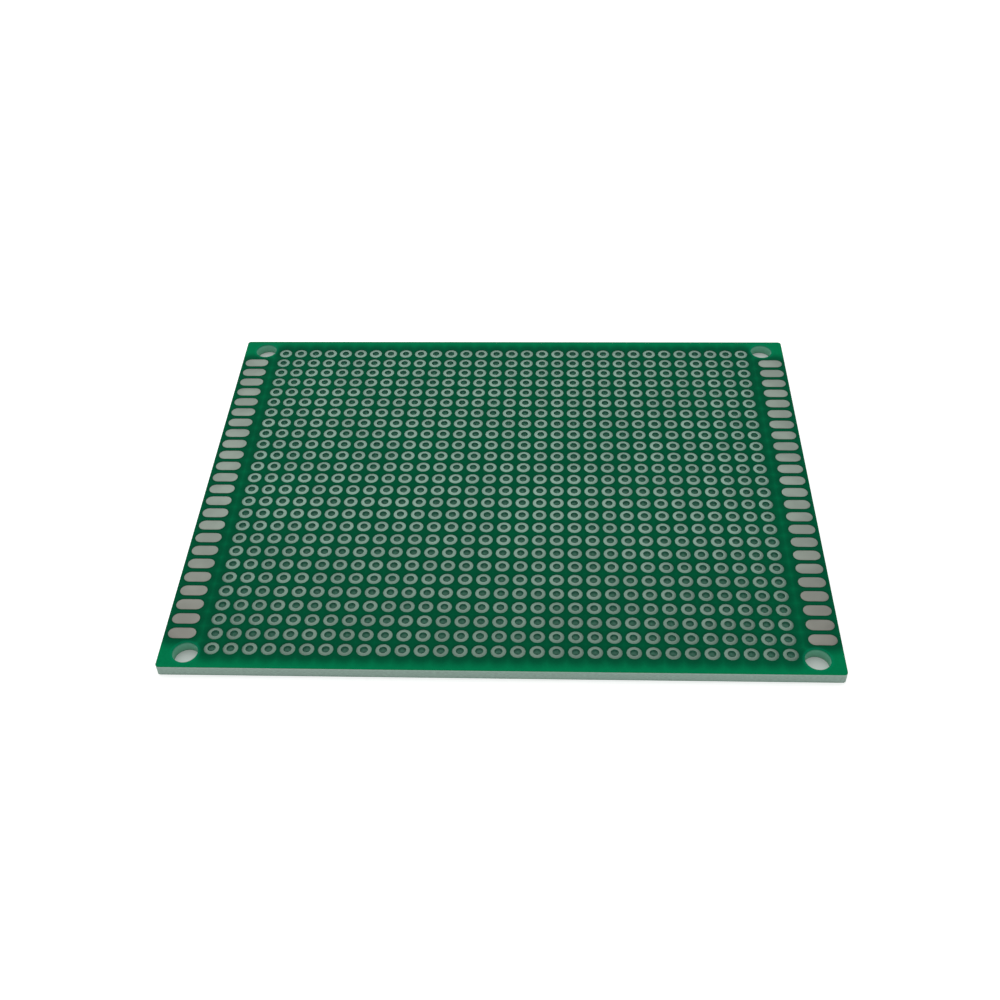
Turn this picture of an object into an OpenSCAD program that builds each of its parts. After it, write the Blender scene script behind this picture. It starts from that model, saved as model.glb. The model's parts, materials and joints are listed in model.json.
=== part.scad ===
// Double-sided prototype circuit board: a grid of plated through-holes in a green board.
// Millimetres. X runs along the length, Y across the width, and Z up.
// The origin is the centre of the underside, on the surface that the board lies on.

/* [Board] */
// Length of the board
board_length = 90; // [88:1:120]
// Width of the board
board_width = 70; // [70:1:100]
// Thickness over the solder mask of both faces
board_thickness = 1.6; // [1.2:0.1:2.4]
// Radius of the board's corners, seen from above
corner_radius = 0.5; // [0.2:0.1:1]
// Thickness of the solder mask, and of the tinned pads flush in its openings
face_layer = 0.05; // [0.03:0.01:0.08]
// Space between a pad's edge and the mask round it
mask_gap = 0.05; // [0.03:0.01:0.1]

/* [Plated holes] */
// Holes along the length
hole_columns = 31; // [12:1:31]
// Rows of holes across the width
hole_rows = 26; // [10:1:26]
// Distance from one hole to the next
hole_pitch = 2.54; // [2.5:0.01:2.54]
// Diameter left open inside the plating
plated_bore = 1.1; // [0.8:0.05:1.2]
// Thickness of the copper and tin on the hole's wall
plating_wall = 0.05; // [0.03:0.01:0.08]
// Diameter of the tinned ring round a hole
ring_diameter = 2.05; // [1.7:0.05:2.1]

/* [Edge pads] */
// Length of an oval pad, across the board's short edge
pad_length = 3.8; // [2.5:0.1:4.2]
// Width of an oval pad
pad_width = 1.8; // [1.2:0.1:2]
// Distance from the board's short edge to an oval pad
pad_edge_distance = 0.5; // [0.4:0.1:0.8]

/* [Mounting holes] */
// Diameter of the four corner holes
mounting_hole = 3.4; // [2.2:0.1:3.5]
// Distance from a short edge to a corner hole's centre
mounting_inset_x = 3.5; // [3:0.1:4]
// Distance from a long edge to a corner hole's centre
mounting_inset_y = 2.5; // [2.3:0.1:2.7]

/* [Hidden] */
$fn = 32;
laminate_thickness = board_thickness - 2 * face_layer;
drilled_bore = plated_bore + 2 * plating_wall;
column_x = [for (column = [0 : hole_columns - 1]) (column - (hole_columns - 1) / 2) * hole_pitch];
row_y = [for (row = [0 : hole_rows - 1]) ((hole_rows - 1) / 2 - row) * hole_pitch];
pad_y = [for (row = [1 : hole_rows - 2]) row_y[row]];
pad_x = board_length / 2 - pad_edge_distance - pad_length / 2;
mounting_x = board_length / 2 - mounting_inset_x;
mounting_y = board_width / 2 - mounting_inset_y;
row_names = [for (row = [1 : hole_rows]) str("hole_plating_row_", row < 10 ? "0" : "", row)];

// The outline, holes and pads that several pieces share

module board_outline() {
    square([board_length - 2 * corner_radius, board_width], center = true);
    square([board_length, board_width - 2 * corner_radius], center = true);
    for (x = [-1, 1], y = [-1, 1])
        translate([x * (board_length / 2 - corner_radius), y * (board_width / 2 - corner_radius)])
            circle(r = corner_radius);
}

module at_mounting_holes() {
    for (x = [-mounting_x, mounting_x], y = [-mounting_y, mounting_y])
        translate([x, y])
            children();
}

module at_grid() {
    for (x = column_x, y = row_y)
        translate([x, y])
            children();
}

module oval(length, width) {
    straight = length - width;
    square([straight, width], center = true);
    for (side = [-1, 1])
        translate([side * straight / 2, 0])
            circle(d = width);
}

// The glass-fibre board, drilled before plating

module laminate() {
    color("darkseagreen")
        translate([0, 0, face_layer])
            linear_extrude(laminate_thickness)
                difference() {
                    board_outline();
                    at_grid()
                        circle(d = drilled_bore);
                    at_mounting_holes()
                        circle(d = mounting_hole);
                }
}

// The solder mask of one face, open at every ring, oval pad and mounting hole

module mask(floor_z) {
    color("darkgreen")
        translate([0, 0, floor_z])
            linear_extrude(face_layer)
                difference() {
                    board_outline();
                    at_grid()
                        circle(d = ring_diameter + 2 * mask_gap);
                    for (side = [-1, 1], y = pad_y)
                        translate([side * pad_x, y])
                            oval(pad_length + 2 * mask_gap, pad_width + 2 * mask_gap);
                    at_mounting_holes()
                        circle(d = mounting_hole);
                }
}

// The plating of one hole: a barrel through the board with a ring on each face, turned in one piece

module hole_plating() {
    rotate_extrude()
        polygon([
            [plated_bore / 2, 0],
            [ring_diameter / 2, 0],
            [ring_diameter / 2, face_layer],
            [drilled_bore / 2, face_layer],
            [drilled_bore / 2, board_thickness - face_layer],
            [ring_diameter / 2, board_thickness - face_layer],
            [ring_diameter / 2, board_thickness],
            [plated_bore / 2, board_thickness]
        ]);
}

module hole_plating_row(row) {
    color("silver")
        for (x = column_x)
            translate([x, row_y[row], 0])
                hole_plating();
}

// The oval pads along one short edge, on one face

module edge_pads(side, floor_z) {
    color("silver")
        for (y = pad_y)
            translate([side * pad_x, y, floor_z])
                linear_extrude(face_layer)
                    oval(pad_length, pad_width);
}

laminate();
mask(board_thickness - face_layer);  // mask_top
mask(0);  // mask_bottom
for (row = [0 : hole_rows - 1])
    hole_plating_row(row);
edge_pads(-1, board_thickness - face_layer);  // edge_pads_left_top
edge_pads(1, board_thickness - face_layer);  // edge_pads_right_top
edge_pads(-1, 0);  // edge_pads_left_bottom
edge_pads(1, 0);  // edge_pads_right_bottom
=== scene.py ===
import json
import math

import bpy
from mathutils import Matrix, Vector


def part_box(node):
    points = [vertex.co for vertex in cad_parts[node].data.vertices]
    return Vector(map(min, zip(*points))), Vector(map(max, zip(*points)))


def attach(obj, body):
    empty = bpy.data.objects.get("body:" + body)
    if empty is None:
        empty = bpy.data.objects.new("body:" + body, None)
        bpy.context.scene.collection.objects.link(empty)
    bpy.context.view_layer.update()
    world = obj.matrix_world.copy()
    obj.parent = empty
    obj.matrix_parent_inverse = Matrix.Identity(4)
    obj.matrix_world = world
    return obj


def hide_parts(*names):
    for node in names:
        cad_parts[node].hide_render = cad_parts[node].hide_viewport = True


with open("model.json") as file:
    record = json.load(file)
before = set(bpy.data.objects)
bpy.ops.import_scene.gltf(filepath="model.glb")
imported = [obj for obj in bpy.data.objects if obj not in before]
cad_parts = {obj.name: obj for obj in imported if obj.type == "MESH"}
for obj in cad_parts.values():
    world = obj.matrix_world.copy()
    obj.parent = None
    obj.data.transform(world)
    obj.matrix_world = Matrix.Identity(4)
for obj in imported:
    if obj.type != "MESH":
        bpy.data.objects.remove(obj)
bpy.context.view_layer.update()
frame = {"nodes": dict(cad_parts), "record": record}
mm = 0.001


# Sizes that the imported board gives

def boardSizes():
    rowNames = sorted(name for name in frame["nodes"] if name.startswith("hole_plating_row_"))
    low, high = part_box(rowNames[0])
    nextLow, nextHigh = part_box(rowNames[1])
    ringDiameter = high.y - low.y
    pitch = abs((low.y + high.y) - (nextLow.y + nextHigh.y)) / 2
    laminateLow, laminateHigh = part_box("laminate")
    padLow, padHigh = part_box("edge_pads_right_top")
    mounts = frame["record"]["mounts"]
    bore = next(mount for mount in mounts if mount["kind"] == "bore")
    corner = next(mount for mount in mounts if mount["kind"] == "bolt_pattern")
    padRows = len(rowNames) - 2
    return {
        "rowNames": rowNames,
        "rows": len(rowNames),
        "columns": round((high.x - low.x - ringDiameter) / pitch) + 1,
        "pitch": pitch,
        "ringRadius": ringDiameter / 2,
        "boreRadius": bore["dims"]["r_mm"] * mm,
        "cornerHoleRadius": corner["dims"]["hole_r_mm"] * mm,
        "cornerHoleX": corner["dims"]["spacing_x_mm"] * mm / 2,
        "cornerHoleY": corner["dims"]["spacing_y_mm"] * mm / 2,
        "boardTop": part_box("mask_top")[1].z,
        "laminateTop": laminateHigh.z,
        "laminateBottom": laminateLow.z,
        "halfLength": laminateHigh.x,
        "halfWidth": laminateHigh.y,
        "padRows": padRows,
        "padLength": padHigh.x - padLow.x,
        "padWidth": padHigh.y - padLow.y - (padRows - 1) * pitch,
        "padX": (padHigh.x + padLow.x) / 2,
    }


board = boardSizes()
board["gridHalfX"] = (board["columns"] - 1) / 2 * board["pitch"] + board["ringRadius"]
board["gridHalfY"] = (board["rows"] - 1) / 2 * board["pitch"] + board["ringRadius"]
print("board sizes:", {key: value for key, value in board.items() if key != "rowNames"})


# Node helpers, for shaders and for geometry

def addNode(tree, kind, inputs=None, **settings):
    node = tree.nodes.new(kind)
    for key, value in settings.items():
        setattr(node, key, value)
    for socket, value in (inputs or {}).items():
        if isinstance(value, bpy.types.NodeSocket):
            tree.links.new(value, node.inputs[socket])
        else:
            node.inputs[socket].default_value = value
    return node


def calc(tree, operation, *values, clamp=False):
    inputs = {place: value for place, value in enumerate(values)}
    return addNode(tree, "ShaderNodeMath", inputs, operation=operation, use_clamp=clamp).outputs[0]


def ramp(tree, value, low, high, lowResult=0.0, highResult=1.0):
    inputs = {"Value": value, "From Min": low, "From Max": high, "To Min": lowResult, "To Max": highResult}
    return addNode(tree, "ShaderNodeMapRange", inputs, interpolation_type="SMOOTHSTEP").outputs[0]


def blendColour(tree, factor, first, second, mode="MIX"):
    node = addNode(tree, "ShaderNodeMix", data_type="RGBA", blend_type=mode)
    for socket, value in ((0, factor), (6, first), (7, second)):
        if isinstance(value, bpy.types.NodeSocket):
            tree.links.new(value, node.inputs[socket])
        else:
            node.inputs[socket].default_value = value if socket == 0 else (*value, 1.0)
    return node.outputs[2]


def newMaterial(name, roughness, metallic, specular):
    material = bpy.data.materials.new(name)
    material.use_nodes = True
    tree = material.node_tree
    shader = tree.nodes["Principled BSDF"]
    shader.inputs["Roughness"].default_value = roughness
    shader.inputs["Metallic"].default_value = metallic
    shader.inputs["Specular IOR Level"].default_value = specular
    place = addNode(tree, "ShaderNodeTexCoord").outputs["Object"]
    axes = addNode(tree, "ShaderNodeSeparateXYZ", {0: place}).outputs
    return material, tree, shader, place, axes


def noise(tree, place, size, detail=2.0, roughness=0.5):
    inputs = {"Vector": place, "Scale": 1 / size, "Detail": detail, "Roughness": roughness}
    return addNode(tree, "ShaderNodeTexNoise", inputs).outputs[0]


def addBump(tree, shader, height, distance, strength=1.0):
    inputs = {"Height": height, "Distance": distance, "Strength": strength}
    bump = addNode(tree, "ShaderNodeBump", inputs)
    tree.links.new(bump.outputs[0], shader.inputs["Normal"])


# Distances on the board's face, outwards from the edge of the nearest ring, oval pad or corner hole

def length(tree, *offsets):
    squares = [calc(tree, "MULTIPLY", value, value) for value in offsets]
    return calc(tree, "SQRT", calc(tree, "ADD", *squares))


def toNearestLine(tree, place, count):
    shift = (count + 1) % 2 / 2
    last = (count - 1) / 2
    steps = calc(tree, "ADD", calc(tree, "DIVIDE", place, board["pitch"]), shift)
    nearest = calc(tree, "MAXIMUM", calc(tree, "ROUND", steps), shift - last)
    nearest = calc(tree, "MINIMUM", nearest, shift + last)
    return calc(tree, "MULTIPLY", calc(tree, "SUBTRACT", steps, nearest), board["pitch"])


def pastRing(tree, axes):
    across = toNearestLine(tree, axes["X"], board["columns"])
    along = toNearestLine(tree, axes["Y"], board["rows"])
    return calc(tree, "SUBTRACT", length(tree, across, along), board["ringRadius"])


def pastOval(tree, axes):
    side = calc(tree, "ABSOLUTE", calc(tree, "SUBTRACT", calc(tree, "ABSOLUTE", axes["X"]), board["padX"]))
    halfStraight = (board["padLength"] - board["padWidth"]) / 2
    past = calc(tree, "MAXIMUM", calc(tree, "SUBTRACT", side, halfStraight), 0.0)
    along = toNearestLine(tree, axes["Y"], board["padRows"])
    return calc(tree, "SUBTRACT", length(tree, past, along), board["padWidth"] / 2)


def pastCornerHole(tree, axes):
    offsets = [
        calc(tree, "SUBTRACT", calc(tree, "ABSOLUTE", axes[key]), board[centre])
        for key, centre in (("X", "cornerHoleX"), ("Y", "cornerHoleY"))
    ]
    return calc(tree, "SUBTRACT", length(tree, *offsets), board["cornerHoleRadius"])


# Solder mask: green lacquer, deep between the pads, with painted light making it paler where only bare
# laminate lies under it, and painted shade round each pad

solderMask = {
    "deepColour": (0.0007, 0.081, 0.034),
    "throughLightColour": (0.0005, 0.184, 0.07),
    "glowColour": (0.002, 0.215, 0.105),
    "roughness": 0.4,
    "specular": 0.004,
    "throughLightFrom": 0.3 * mm,       # painted light through bare laminate, out from the nearest pad's edge
    "paleTo": 2.2 * mm,
    "glowWidth": 0.5 * mm,      # out from a corner hole, where light comes through the laminate
    "glowShare": 0.5,
    "shadeWidth": 0.4 * mm,     # painted shade round each pad
    "shadeDepth": 0.85,
    "cloudSize": 14 * mm,
    "grainSize": 0.35 * mm,
    "weavePitch": 0.55 * mm,
    "weaveHeight": 0.003 * mm,
}


def makeSolderMask(size):
    material, tree, shader, place, axes = newMaterial("solderMask", size["roughness"], 0.0, size["specular"])
    pastPad = calc(tree, "MINIMUM", pastRing(tree, axes), pastOval(tree, axes))
    # painted light: paler away from the pads, where light comes through the bare laminate, plus a cloud of
    # random tone
    throughLight = ramp(tree, pastPad, size["throughLightFrom"], size["paleTo"])
    cloud = ramp(tree, noise(tree, place, size["cloudSize"]), 0.3, 0.7, -0.06, 0.06)
    throughLight = calc(tree, "ADD", throughLight, cloud, clamp=True)
    colour = blendColour(tree, throughLight, size["deepColour"], size["throughLightColour"])
    glow = ramp(tree, pastCornerHole(tree, axes), 0.0, size["glowWidth"], size["glowShare"], 0.0)
    colour = blendColour(tree, glow, colour, size["glowColour"])
    # painted shade: a dip round each pad, times a fine grain of random tone
    padShade = ramp(tree, pastPad, 0.0, size["shadeWidth"], size["shadeDepth"], 1.0)
    grain = ramp(tree, noise(tree, place, size["grainSize"], 3.0), 0.25, 0.75, 0.95, 1.05)
    shadeAndGrain = calc(tree, "MULTIPLY", padShade, grain)
    shadeColour = addNode(tree, "ShaderNodeCombineColor", {0: shadeAndGrain, 1: shadeAndGrain, 2: shadeAndGrain}).outputs[0]
    colour = blendColour(tree, 1.0, colour, shadeColour, "MULTIPLY")
    tree.links.new(colour, shader.inputs["Base Color"])
    waves = [
        calc(tree, "SINE", calc(tree, "MULTIPLY", axes[key], 2 * math.pi / size["weavePitch"]))
        for key in ("X", "Y")
    ]
    weave = calc(tree, "MULTIPLY", *waves)
    addBump(tree, shader, calc(tree, "ADD", weave, grain), size["weaveHeight"])
    return material


# Laminate: sawn glass-fibre edges with faint plies, a painted highlight along the top of each edge and
# painted shade along its bottom, and greener down the corner holes, where green light through the board is
# painted on

laminate = {
    "edgeColour": (0.34, 0.47, 0.405),
    "topHighlightColour": (0.43, 0.56, 0.5),
    "lowShadeColour": (0.32, 0.44, 0.385),
    "holeGreenLightColour": (0.215, 0.56, 0.41),
    "holeLowShadeColour": (0.215, 0.5, 0.36),
    "holeRimShadeColour": (0.03, 0.3, 0.17),     # painted shade along the top of the wall
    "holeRimShadeHeight": 0.35 * mm,
    "faceColour": (0.012, 0.095, 0.05),
    "roughness": 0.75,
    "specular": 0.2,
    "lineHeight": 0.3 * mm,
    "plyPitch": 0.2 * mm,
    "fibreSize": 0.5 * mm,
    "fibreHeight": 0.012 * mm,
    "holeReach": 0.4 * mm,
}


def makeLaminate(size):
    material, tree, shader, place, axes = newMaterial("laminate", size["roughness"], 0.0, size["specular"])
    # painted highlight along the top of the sawn edge, painted shade along its bottom
    topHighlight = ramp(tree, axes["Z"], board["laminateTop"] - size["lineHeight"], board["laminateTop"])
    lowShade = ramp(tree, axes["Z"], board["laminateBottom"] + size["lineHeight"], board["laminateBottom"])
    colour = blendColour(tree, topHighlight, size["edgeColour"], size["topHighlightColour"])
    colour = blendColour(tree, lowShade, colour, size["lowShadeColour"])
    ply = calc(tree, "SINE", calc(tree, "MULTIPLY", axes["Z"], 2 * math.pi / size["plyPitch"]))
    fibrePlace = addNode(tree, "ShaderNodeVectorMath", {0: place, 1: (1.0, 1.0, 5.0)}, operation="MULTIPLY")
    fibre = noise(tree, fibrePlace.outputs[0], size["fibreSize"], 3.0, 0.6)
    tone = calc(tree, "ADD", calc(tree, "MULTIPLY", ply, 0.05), ramp(tree, fibre, 0.25, 0.75, 0.82, 1.18))
    toneColour = addNode(tree, "ShaderNodeCombineColor", {0: tone, 1: tone, 2: tone}).outputs[0]
    colour = blendColour(tree, 1.0, colour, toneColour, "MULTIPLY")
    # corner hole walls: painted green light through the board, with painted shade towards the bottom and
    # along the top
    height = ramp(tree, axes["Z"], board["laminateBottom"], board["laminateTop"])
    wall = blendColour(tree, height, size["holeLowShadeColour"], size["holeGreenLightColour"])
    # painted shade along the top of a corner hole's wall
    rimShade = ramp(tree, axes["Z"], board["laminateTop"] - size["holeRimShadeHeight"], board["laminateTop"])
    wall = blendColour(tree, rimShade, wall, size["holeRimShadeColour"])
    nearHole = ramp(tree, pastCornerHole(tree, axes), size["holeReach"], 0.01 * mm)
    colour = blendColour(tree, nearHole, colour, wall)
    facing = addNode(tree, "ShaderNodeNewGeometry").outputs["Normal"]
    upright = calc(tree, "ABSOLUTE", addNode(tree, "ShaderNodeSeparateXYZ", {0: facing}).outputs["Z"])
    flatFace = calc(tree, "GREATER_THAN", upright, 0.7)
    colour = blendColour(tree, flatFace, colour, size["faceColour"])
    tree.links.new(colour, shader.inputs["Base Color"])
    addBump(tree, shader, fibre, size["fibreHeight"])
    return material


# Tinned copper: a dull hot-dipped coat, a little different from pad to pad, with painted shade towards the
# board's front, painted shade just inside each bore and painted green light deeper down the bores

tinnedCopper = {
    "ringColour": (0.186, 0.292, 0.238),
    "frontShadeRingColour": (0.134, 0.204, 0.164),
    "padColour": (0.23, 0.276, 0.238),
    "frontShadePadColour": (0.212, 0.206, 0.182),
    "rimShadeColour": (0.035, 0.27, 0.175),      # painted shade just inside a bore
    "boreLightColour": (0.36, 0.74, 0.6),        # painted green light deep in a bore
    "toneSpread": 0.1,
    "roughness": 0.42,
    "metallic": 0.6,
    "specular": 0.3,
    "patchSize": 3.5 * mm,
    "grainSize": 0.16 * mm,
    "grainHeight": 0.006 * mm,
    "rimDepth": 0.05 * mm,      # depths from the nearer face
    "boreDepth": 0.8 * mm,
    "edgeWidth": 0.06 * mm,     # the ring's outer edge, darkened towards the colour just inside a bore
}


def makeTinnedCopper(size):
    material, tree, shader, place, axes = newMaterial(
        "tinnedCopper", size["roughness"], size["metallic"], size["specular"]
    )
    # painted shade: rings and pads darker towards the board's front
    frontShade = ramp(tree, axes["Y"], 0.0, -board["halfWidth"])
    ring = blendColour(tree, frontShade, size["ringColour"], size["frontShadeRingColour"])
    pad = blendColour(tree, frontShade, size["padColour"], size["frontShadePadColour"])
    isPad = calc(tree, "GREATER_THAN", calc(tree, "ABSOLUTE", axes["X"]), board["gridHalfX"])
    colour = blendColour(tree, isPad, ring, pad)
    patch = ramp(tree, noise(tree, place, size["patchSize"], 1.0), 0.3, 0.7)
    grain = noise(tree, place, size["grainSize"], 3.0, 0.6)
    tone = calc(tree, "ADD", calc(tree, "MULTIPLY", patch, 0.6), calc(tree, "MULTIPLY", grain, 0.4))
    tone = ramp(tree, tone, 0.0, 1.0, 1.0 - size["toneSpread"], 1.0 + size["toneSpread"])
    toneColour = addNode(tree, "ShaderNodeCombineColor", {0: tone, 1: tone, 2: tone}).outputs[0]
    colour = blendColour(tree, 1.0, colour, toneColour, "MULTIPLY")
    # painted shade just inside a bore, painted green light deeper down
    fromTop = calc(tree, "SUBTRACT", board["boardTop"], axes["Z"])
    depth = calc(tree, "MINIMUM", fromTop, axes["Z"])
    inside = blendColour(
        tree, ramp(tree, depth, size["rimDepth"], size["boreDepth"]), size["rimShadeColour"], size["boreLightColour"]
    )
    pastEdge = pastRing(tree, axes)
    edge = ramp(tree, pastEdge, -size["edgeWidth"], 0.0)
    edge = calc(tree, "MULTIPLY", edge, calc(tree, "LESS_THAN", pastEdge, 0.01 * mm))
    colour = blendColour(tree, edge, colour, size["rimShadeColour"])
    boreEdge = board["boreRadius"] - board["ringRadius"]
    inBore = calc(tree, "LESS_THAN", pastEdge, boreEdge + 0.01 * mm)
    inBore = calc(tree, "MULTIPLY", inBore, ramp(tree, depth, -0.01 * mm, size["rimDepth"]))
    colour = blendColour(tree, inBore, colour, inside)
    tree.links.new(colour, shader.inputs["Base Color"])
    addBump(tree, shader, grain, size["grainHeight"])
    return material


solderMaskMaterial = makeSolderMask(solderMask)
laminateMaterial = makeLaminate(laminate)
tinMaterial = makeTinnedCopper(tinnedCopper)
for nodeName, material in (
    ("laminate", laminateMaterial),
    ("mask_top", solderMaskMaterial),
    ("mask_bottom", solderMaskMaterial),
):
    frame["nodes"][nodeName].data.materials.clear()
    frame["nodes"][nodeName].data.materials.append(material)
print("materials: solder mask, laminate and tinned copper")


# Geometry Nodes: inputs by name, and baking to a plain mesh

def newTree(name, inputs):
    tree = bpy.data.node_groups.new(name, "GeometryNodeTree")
    tree.interface.new_socket("Geometry", in_out="OUTPUT", socket_type="NodeSocketGeometry")
    for key, value in inputs.items():
        kind = "NodeSocketInt" if isinstance(value, int) else "NodeSocketFloat"
        tree.interface.new_socket(key, in_out="INPUT", socket_type=kind).default_value = value
    return tree, tree.nodes.new("NodeGroupInput").outputs, tree.nodes.new("NodeGroupOutput")


def combine(tree, x=0.0, y=0.0, z=0.0):
    return addNode(tree, "ShaderNodeCombineXYZ", {"X": x, "Y": y, "Z": z}).outputs[0]


def bakeTree(name, tree, values):
    piece = bpy.data.objects.new(name, bpy.data.meshes.new(name))
    bpy.context.scene.collection.objects.link(piece)
    modifier = piece.modifiers.new("nodes", "NODES")
    modifier.node_group = tree
    for item in tree.interface.items_tree:
        if item.in_out == "INPUT" and item.name in values:
            modifier[item.identifier] = values[item.name]
    evaluated = piece.evaluated_get(bpy.context.evaluated_depsgraph_get())
    mesh = bpy.data.meshes.new_from_object(evaluated)
    piece.modifiers.remove(modifier)
    piece.data = mesh
    return piece


def standsFor(piece, node):
    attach(piece, "root")
    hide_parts(node)


# Plated holes: a barrel with a domed tin ring on each face, one row of holes at a time

platedHole = {
    "Segments": 12,
    "Plating Wall": 0.05 * mm,
    "Crest Rise": 0.022 * mm,       # how far the tin stands above the upper mask
    "Crest Place": 0.42,            # from the bore, 0, to the ring's edge, 1
    "Lip Drop": 0.02 * mm,
    "Unevenness": 0.008 * mm,
    "Lump Size": 0.9 * mm,
}


def makeHoleTree(inputs, material):
    tree, given, out = newTree("platedHoleRow", inputs)
    drill = calc(tree, "ADD", given["Bore Radius"], given["Plating Wall"])
    ringWidth = calc(tree, "SUBTRACT", given["Ring Radius"], given["Bore Radius"])
    crest = calc(tree, "ADD", given["Bore Radius"], calc(tree, "MULTIPLY", ringWidth, given["Crest Place"]))
    crestTop = calc(tree, "ADD", given["Board Top"], given["Crest Rise"])
    lipTop = calc(tree, "SUBTRACT", crestTop, given["Lip Drop"])
    profile = [
        (given["Bore Radius"], 0.0),
        (given["Bore Radius"], lipTop),
        (crest, crestTop),
        (given["Ring Radius"], given["Laminate Top"]),
        (drill, given["Laminate Top"]),
        (drill, given["Laminate Bottom"]),
        (given["Ring Radius"], given["Laminate Bottom"]),
    ]
    corners = addNode(tree, "GeometryNodeIndexSwitch", data_type="VECTOR")
    while len(corners.index_switch_items) < len(profile):
        corners.index_switch_items.new()
    tree.links.new(addNode(tree, "GeometryNodeInputIndex").outputs[0], corners.inputs[0])
    for place, (radius, height) in enumerate(profile):
        outward = calc(tree, "SUBTRACT", radius, given["Ring Radius"])
        corner = combine(tree, outward, calc(tree, "MULTIPLY", height, -1.0))
        tree.links.new(corner, corners.inputs[place + 1])
    outline = addNode(tree, "GeometryNodeCurvePrimitiveCircle", {"Resolution": len(profile)}).outputs[0]
    outline = addNode(tree, "GeometryNodeSetPosition", {0: outline, "Position": corners.outputs[0]})
    railSizes = {"Resolution": given["Segments"], "Radius": given["Ring Radius"]}
    rail = addNode(tree, "GeometryNodeCurvePrimitiveCircle", railSizes)
    rail = addNode(tree, "GeometryNodeSetCurveNormal", {0: rail.outputs[0]}, mode="Z_UP")
    curves = {"Curve": rail.outputs[0], "Profile Curve": outline.outputs[0]}
    turned = addNode(tree, "GeometryNodeCurveToMesh", curves)
    span = calc(tree, "MULTIPLY", calc(tree, "SUBTRACT", given["Columns"], 1), given["Pitch"])
    start = combine(tree, calc(tree, "MULTIPLY", span, -0.5), given["Row Y"])
    line = addNode(
        tree,
        "GeometryNodeMeshLine",
        {"Count": given["Columns"], "Start Location": start, "Offset": combine(tree, given["Pitch"])},
    )
    angles = {"Max": 2 * math.pi, "Seed": given["Seed"]}
    spin = combine(tree, z=addNode(tree, "FunctionNodeRandomValue", angles, data_type="FLOAT").outputs[1])
    placed = addNode(
        tree,
        "GeometryNodeInstanceOnPoints",
        {"Points": line.outputs[0], "Instance": turned.outputs[0], "Rotation": spin},
    )
    solid = addNode(tree, "GeometryNodeRealizeInstances", {0: placed.outputs[0]})
    lumpy = addLumps(tree, solid.outputs[0], given)
    finishTree(tree, lumpy, material, out)
    return tree


# Both kinds of pad end in the same way: uneven tin, soft shading with crisp rims, and the material

def addLumps(tree, mesh, given):
    position = addNode(tree, "GeometryNodeInputPosition").outputs[0]
    height = addNode(tree, "ShaderNodeSeparateXYZ", {0: position}).outputs["Z"]
    raised = calc(tree, "GREATER_THAN", height, given["Board Top"])
    scale = calc(tree, "DIVIDE", 1.0, given["Lump Size"])
    texture = addNode(
        tree,
        "ShaderNodeTexNoise",
        {"Vector": position, "W": given["Seed"], "Scale": scale, "Detail": 1.0},
        noise_dimensions="4D",
    )
    offset = calc(tree, "MULTIPLY", calc(tree, "SUBTRACT", texture.outputs[0], 0.5), 2.0)
    offset = combine(tree, 0.0, 0.0, calc(tree, "MULTIPLY", offset, given["Unevenness"]))
    inputs = {"Geometry": mesh, "Selection": raised, "Offset": offset}
    return addNode(tree, "GeometryNodeSetPosition", inputs).outputs[0]


def finishTree(tree, mesh, material, out, crispAngle=math.radians(50)):
    smooth = addNode(tree, "GeometryNodeSetShadeSmooth", {0: mesh}, domain="FACE")
    angle = addNode(tree, "GeometryNodeInputMeshEdgeAngle").outputs[0]
    crisp = calc(tree, "GREATER_THAN", angle, crispAngle)
    rims = addNode(
        tree,
        "GeometryNodeSetShadeSmooth",
        {"Geometry": smooth.outputs[0], "Selection": crisp, "Shade Smooth": False},
        domain="EDGE",
    )
    coat = addNode(tree, "GeometryNodeSetMaterial", {"Geometry": rims.outputs[0], "Material": material})
    tree.links.new(coat.outputs[0], out.inputs[0])


holeInputs = {
    **platedHole,
    "Columns": board["columns"],
    "Pitch": board["pitch"],
    "Bore Radius": board["boreRadius"],
    "Ring Radius": board["ringRadius"],
    "Board Top": board["boardTop"],
    "Laminate Top": board["laminateTop"],
    "Laminate Bottom": board["laminateBottom"],
    "Row Y": 0.0,
    "Seed": 0,
}
holeTree = makeHoleTree(holeInputs, tinMaterial)
for rowNumber, rowName in enumerate(board["rowNames"], start=1):
    rowLow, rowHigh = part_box(rowName)
    rowValues = {**holeInputs, "Row Y": (rowLow.y + rowHigh.y) / 2, "Seed": rowNumber}
    rowPiece = bakeTree(f"tinnedHolesRow{rowNumber:02d}", holeTree, rowValues)
    standsFor(rowPiece, rowName)
print("plated holes:", board["rows"], "rows of", board["columns"])


# Oval edge pads: flat tin with a rounded rim, a column of them for each end and face

ovalPad = {
    "Corner Steps": 4,
    "Rim Width": 0.2 * mm,
    "Rim Height": 0.045 * mm,
    "Crest Rise": 0.018 * mm,
    "Unevenness": 0.006 * mm,
    "Lump Size": 1.4 * mm,
}


def towardsCentreLine(tree, mesh, top, straight, share, rise):
    position = addNode(tree, "GeometryNodeInputPosition").outputs[0]
    axes = addNode(tree, "ShaderNodeSeparateXYZ", {0: position}).outputs
    half = calc(tree, "MULTIPLY", straight, 0.5)
    nearest = calc(tree, "MINIMUM", axes["X"], half)
    nearest = calc(tree, "MAXIMUM", nearest, calc(tree, "MULTIPLY", half, -1.0))
    x = calc(tree, "ADD", nearest, calc(tree, "MULTIPLY", calc(tree, "SUBTRACT", axes["X"], nearest), share))
    y = calc(tree, "MULTIPLY", axes["Y"], share)
    inputs = {"Geometry": mesh, "Selection": top, "Position": combine(tree, x, y, rise)}
    return addNode(tree, "GeometryNodeSetPosition", inputs).outputs[0]


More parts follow.
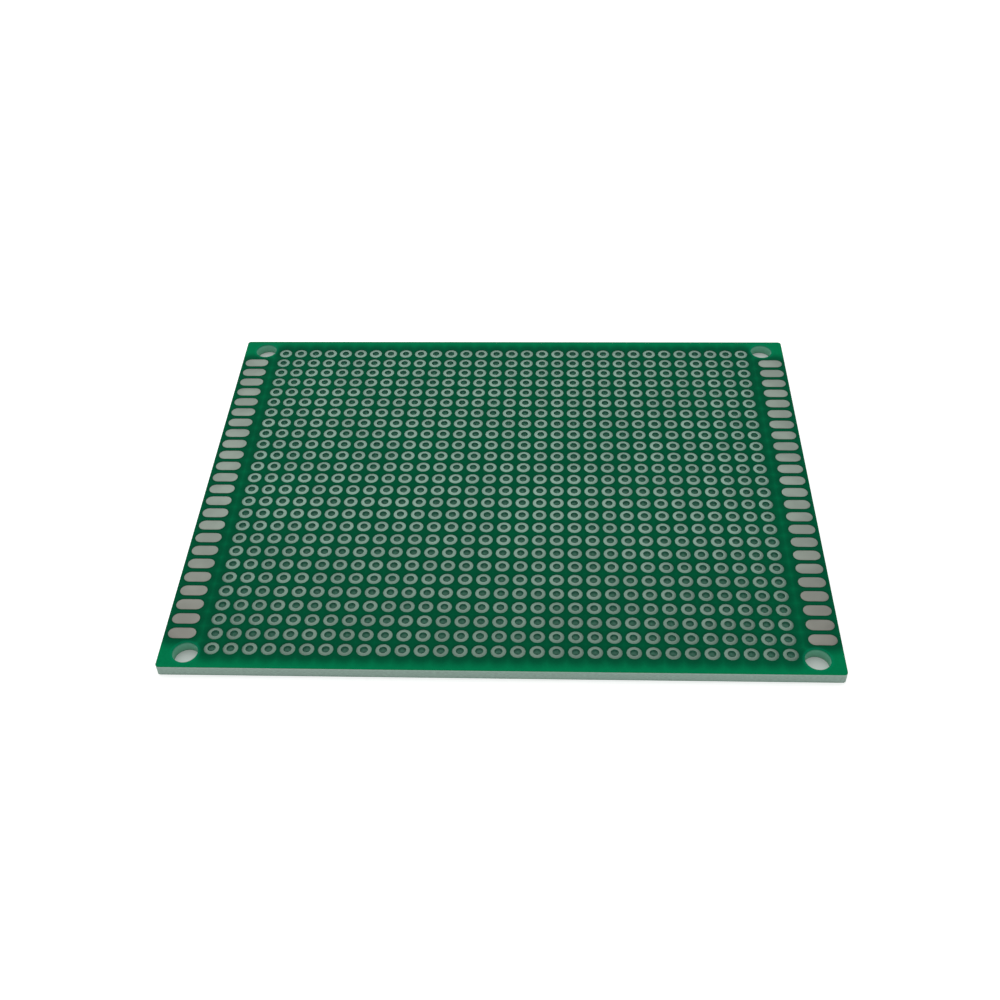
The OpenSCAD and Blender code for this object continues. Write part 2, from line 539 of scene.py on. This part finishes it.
def makePadTree(inputs, material):
    tree, given, out = newTree("ovalPads", inputs)
    boxSizes = {"Width": given["Pad Length"], "Height": given["Pad Width"]}
    box = addNode(tree, "GeometryNodeCurvePrimitiveQuadrilateral", boxSizes)
    radius = calc(tree, "MULTIPLY", given["Pad Width"], 0.4999)
    oval = addNode(
        tree,
        "GeometryNodeFilletCurve",
        {"Curve": box.outputs[0], "Radius": radius, "Count": given["Corner Steps"]},
        mode="POLY",
    )
    base = addNode(tree, "GeometryNodeFillCurve", {"Curve": oval.outputs[0]}, mode="NGONS")
    under = addNode(tree, "GeometryNodeFlipFaces", {0: base.outputs[0]})
    straight = calc(tree, "SUBTRACT", given["Pad Length"], given["Pad Width"])
    innerShare = calc(tree, "SUBTRACT", 1.0, calc(tree, "DIVIDE", given["Rim Width"], radius))
    crest = calc(tree, "ADD", given["Layer"], given["Crest Rise"])
    flat = {"Mesh": base.outputs[0], "Individual": False}
    rim = addNode(tree, "GeometryNodeExtrudeMesh", flat, mode="FACES").outputs
    shell = towardsCentreLine(tree, rim["Mesh"], rim["Top"], straight, 1.0, given["Rim Height"])
    dome = addNode(
        tree,
        "GeometryNodeExtrudeMesh",
        {"Mesh": shell, "Selection": rim["Top"], "Individual": False},
        mode="FACES",
    )
    shell = towardsCentreLine(tree, dome.outputs["Mesh"], dome.outputs["Top"], straight, innerShare, crest)
    both = addNode(tree, "GeometryNodeJoinGeometry")
    tree.links.new(shell, both.inputs[0])
    tree.links.new(under.outputs[0], both.inputs[0])
    near = {"Geometry": both.outputs[0], "Distance": 0.001 * mm}
    closed = addNode(tree, "GeometryNodeMergeByDistance", near)
    span = calc(tree, "MULTIPLY", calc(tree, "SUBTRACT", given["Count"], 1), given["Pitch"])
    start = combine(tree, given["Centre X"], calc(tree, "MULTIPLY", span, -0.5), given["Seat Z"])
    line = addNode(
        tree,
        "GeometryNodeMeshLine",
        {"Count": given["Count"], "Start Location": start, "Offset": combine(tree, 0.0, given["Pitch"])},
    )
    placed = addNode(
        tree,
        "GeometryNodeInstanceOnPoints",
        {
            "Points": line.outputs[0],
            "Instance": closed.outputs[0],
            "Rotation": combine(tree, given["Turn"]),
        },
    )
    solid = addNode(tree, "GeometryNodeRealizeInstances", {0: placed.outputs[0]})
    finishTree(tree, addLumps(tree, solid.outputs[0], given), material, out)
    return tree


padInputs = {
    **ovalPad,
    "Pad Length": board["padLength"],
    "Pad Width": board["padWidth"],
    "Layer": board["boardTop"] - board["laminateTop"],
    "Board Top": board["boardTop"],
    "Count": board["padRows"],
    "Pitch": board["pitch"],
    "Centre X": 0.0,
    "Seat Z": 0.0,
    "Turn": 0.0,
    "Seed": 0,
}
padTree = makePadTree(padInputs, tinMaterial)
padPlaces = (
    ("edge_pads_left_top", -1, board["laminateTop"], 0.0, ovalPad["Crest Rise"]),
    ("edge_pads_right_top", 1, board["laminateTop"], 0.0, ovalPad["Crest Rise"]),
    ("edge_pads_left_bottom", -1, board["laminateBottom"], math.pi, 0.0),
    ("edge_pads_right_bottom", 1, board["laminateBottom"], math.pi, 0.0),
)
for padNumber, (padNode, side, seat, turn, rise) in enumerate(padPlaces, start=1):
    padValues = {
        **padInputs,
        "Centre X": side * board["padX"],
        "Seat Z": seat,
        "Turn": turn,
        "Crest Rise": rise,
        "Seed": 100 + padNumber,
    }
    sideName = "".join(word.capitalize() for word in padNode.split("_")[2:])
    standsFor(bakeTree("tinnedPads" + sideName, padTree, padValues), padNode)
print("oval pads:", len(padPlaces), "columns of", board["padRows"])


# Floor, light and camera

studio = {
    "floorSize": 6.0,
    "floorColour": 0.82,
    "floorGlow": 0.5,           # seen by the camera and in reflections only
    "shadeColour": (0.52, 0.55, 0.53),      # painted shadow on the floor under the board
    "shadeGlow": 0.12,
    "skyLight": 0.62,           # what the open room throws on the board
    "skyBackground": 1.0,       # what the camera sees of it
    "skyAtHorizon": 1.0,        # what reflections see of it
    "skyOverhead": 0.05,
    "lampPlace": (-0.08, 0.4, 0.7),
    "lampSize": 0.8,
    "lampPower": 3.1,
}


def raysThatShow(tree):
    path = addNode(tree, "ShaderNodeLightPath").outputs
    return path["Is Camera Ray"], calc(tree, "MAXIMUM", path["Is Glossy Ray"], path["Is Transmission Ray"])


def makeFloor(size):
    half = size["floorSize"] / 2
    mesh = bpy.data.meshes.new("floor")
    corners = [(-half, -half, 0), (half, -half, 0), (half, half, 0), (-half, half, 0)]
    mesh.from_pydata(corners, [], [(0, 1, 2, 3)])
    floor = bpy.data.objects.new("floor", mesh)
    bpy.context.scene.collection.objects.link(floor)
    material, tree, shader, place, axes = newMaterial("floorPaper", 0.9, 0.0, 0.0)
    # painted shadow: the floor under the board is darker and glows less
    under = [
        ramp(tree, calc(tree, "ABSOLUTE", axes[key]), board[edge] - 0.2 * mm, board[edge] - 0.6 * mm)
        for key, edge in (("X", "halfLength"), ("Y", "halfWidth"))
    ]
    under = calc(tree, "MULTIPLY", *under)
    colour = blendColour(tree, under, (size["floorColour"],) * 3, size["shadeColour"])
    tree.links.new(colour, shader.inputs["Base Color"])
    shader.inputs["Emission Color"].default_value = (1.0, 1.0, 1.0, 1.0)
    glow = ramp(tree, under, 0.0, 1.0, size["floorGlow"], size["shadeGlow"])
    glow = calc(tree, "MULTIPLY", glow, calc(tree, "MAXIMUM", *raysThatShow(tree)))
    tree.links.new(glow, shader.inputs["Emission Strength"])
    mesh.materials.append(material)


def makeLight(size):
    world = bpy.data.worlds.new("studio")
    bpy.context.scene.world = world
    world.use_nodes = True
    tree = world.node_tree
    facing = addNode(tree, "ShaderNodeTexCoord").outputs["Generated"]
    height = addNode(tree, "ShaderNodeSeparateXYZ", {0: facing}).outputs["Z"]
    reflected = ramp(tree, height, 0.0, 1.0, size["skyAtHorizon"], size["skyOverhead"])
    level = size["skyLight"]
    for isRay, seen in zip(raysThatShow(tree), (size["skyBackground"], reflected)):
        change = calc(tree, "MULTIPLY", calc(tree, "SUBTRACT", seen, size["skyLight"]), isRay)
        level = calc(tree, "ADD", level, change)
    tree.links.new(level, tree.nodes["Background"].inputs["Strength"])
    tree.nodes["Background"].inputs["Color"].default_value = (1.0, 1.0, 1.0, 1.0)
    data = bpy.data.lights.new("softbox", "AREA")
    data.shape = "SQUARE"
    data.size = size["lampSize"]
    data.energy = size["lampPower"]
    lamp = bpy.data.objects.new("softbox", data)
    lamp.location = size["lampPlace"]
    lamp.rotation_euler = (-Vector(size["lampPlace"])).to_track_quat("-Z", "Y").to_euler()
    bpy.context.scene.collection.objects.link(lamp)


view = {
    "place": (6.948 * mm, -136.32 * mm, 129.84 * mm),       # above the upper face's centre
    "direction": (-0.0415, 0.71502, -0.69787),
    "roll": math.radians(-1.953),
    "fieldOfView": math.radians(43.26),
}


def makeCamera(size):
    data = bpy.data.cameras.new("camera")
    data.sensor_fit = "HORIZONTAL"
    data.angle = size["fieldOfView"]
    data.clip_start = 0.01
    camera = bpy.data.objects.new("camera", data)
    aim = Vector(size["direction"]).to_track_quat("-Z", "Y").to_matrix().to_4x4()
    place = Vector(size["place"]) + Vector((0, 0, board["boardTop"]))
    camera.matrix_world = Matrix.Translation(place) @ aim @ Matrix.Rotation(size["roll"], 4, "Z")
    bpy.context.scene.collection.objects.link(camera)
    bpy.context.scene.camera = camera


makeFloor(studio)
makeLight(studio)
makeCamera(view)
bpy.context.scene.view_settings.view_transform = "Standard"
print("floor, light and camera")
